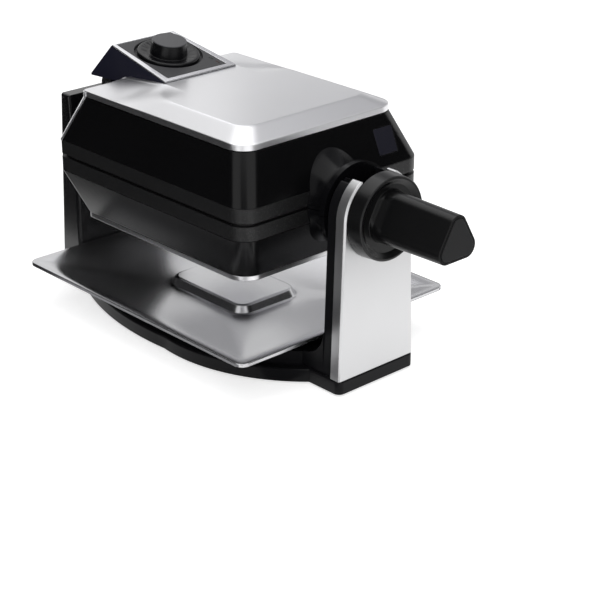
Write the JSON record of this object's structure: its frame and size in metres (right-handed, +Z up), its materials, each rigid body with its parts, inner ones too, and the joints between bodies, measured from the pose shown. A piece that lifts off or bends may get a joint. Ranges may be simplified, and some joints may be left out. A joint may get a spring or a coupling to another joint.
{
  "type": "rotating waffle maker",
  "caption": "Countertop waffle maker whose clamshell head, with a hinged lid and a tilted dial, turns by its handle between a front cradle and a rear tower over a slide-out drip tray.",
  "frame": {"origin": "middle of the overall length and width, on the plane that the feet stand on", "axes": "+Z up, +Y from the handle towards the rear tower along the turning axis, +X to the right seen from the handle"},
  "size_m": [0.25, 0.4684, 0.2546],
  "materials": {
    "base_plastic": "fine texture",
    "tower_plastic": "semi-gloss",
    "bearing_plastic": "smooth",
    "gland_rubber": "matt",
    "foot_rubber": "matt",
    "screw_steel": "plain",
    "brushed_plate": "fine brushed",
    "tray_steel": "brushed",
    "cover_steel": "satin",
    "gloss_shell": "gloss",
    "matt_band": "spark texture",
    "neck_plastic": "semi-gloss",
    "handle_plastic": "satin",
    "cap_plastic": "satin",
    "coated_aluminium": "non-stick coat",
    "element_steel": "oxidised",
    "shield_steel": "plain",
    "bracket_steel": "satin",
    "shaft_steel": "turned",
    "housing_plastic": "semi-gloss",
    "frame_metal": "satin",
    "panel_plastic": "satin",
    "lamp_red": "clear",
    "lamp_green": "clear",
    "switch_plastic": "plain",
    "knob_plastic": "satin",
    "knob_cap_plastic": "satin",
    "button_plastic": "gloss"
  },
  "bodies": {
    "stand": {"base_shell": "base_plastic", "bottom_plate": "base_plastic", "rubber_foot_1": "foot_rubber", "rubber_foot_2": "foot_rubber", "rubber_foot_3": "foot_rubber", "rubber_foot_4": "foot_rubber", "rubber_foot_5": "foot_rubber", "rubber_foot_6": "foot_rubber", "base_screw_1": "screw_steel", "base_screw_2": "screw_steel", "base_screw_3": "screw_steel", "base_screw_4": "screw_steel", "base_screw_5": "screw_steel", "base_screw_6": "screw_steel", "column_pillar": "base_plastic", "column_face_plate": "brushed_plate", "cradle_bush": "bearing_plastic", "rear_tower": "tower_plastic", "tower_back_cover": "tower_plastic", "rear_bearing": "bearing_plastic", "cable_gland": "gland_rubber"},
    "tray": {"drip_tray": "tray_steel"},
    "rotor": {"lower_shell": "gloss_shell", "lower_band": "matt_band", "lower_cover": "cover_steel", "lower_waffle_plate": "coated_aluminium", "lower_heating_element": "element_steel", "lower_heat_shield": "shield_steel", "lower_neck": "neck_plastic", "hinge_bracket": "bracket_steel", "rear_shaft": "shaft_steel", "shaft_collar": "shaft_steel", "hinge_pin": "shaft_steel"},
    "lid": {"upper_shell": "gloss_shell", "upper_band": "matt_band", "upper_cover": "cover_steel", "control_housing": "housing_plastic", "dial_frame": "frame_metal", "dial_panel": "panel_plastic", "indicator_lamp_1": "lamp_red", "indicator_lamp_2": "lamp_green", "upper_neck": "neck_plastic", "handle_grip": "handle_plastic", "handle_end_cap": "cap_plastic", "upper_waffle_plate": "coated_aluminium", "upper_heating_element": "element_steel", "upper_heat_shield": "shield_steel", "thermostat_body": "switch_plastic", "lid_hinge_leaf": "bracket_steel", "handle_core": "shaft_steel"},
    "knob": {"thermostat_knob": "knob_plastic", "knob_cap": "knob_cap_plastic"},
    "upper_button": {"upper_release_button": "button_plastic"},
    "lower_button": {"lower_release_button": "button_plastic"}
  },
  "joints": [
    {"name": "head_rotation", "type": "hinge", "parent": "stand", "child": "rotor", "pos_m": [0, 0, 0.1575], "axis": [0, 1, 0], "range_deg": [0, 180]},
    {"name": "lid_hinge", "type": "hinge", "parent": "rotor", "child": "lid", "pos_m": [0, 0.1902, 0.203], "axis": [1, 0, 0], "range_deg": [-95, 0]},
    {"name": "thermostat_knob", "type": "hinge", "parent": "lid", "child": "knob", "pos_m": [0, 0.13422, 0.23873], "axis": [0, -0.1805, 0.9836], "range_deg": [-270, 0]},
    {"name": "upper_release", "type": "slide", "parent": "lid", "child": "upper_button", "axis": [0, 0.9164, -0.4004], "range_m": [0, 0.002], "stiffness_N_per_m": 300, "springref_m": -0.002},
    {"name": "lower_release", "type": "slide", "parent": "rotor", "child": "lower_button", "axis": [0, 0.9164, 0.4004], "range_m": [0, 0.002], "stiffness_N_per_m": 300, "springref_m": -0.002},
    {"name": "tray_slide", "type": "slide", "parent": "stand", "child": "tray", "axis": [1, 0, 0], "range_m": [0, 0.15]}
  ]
}
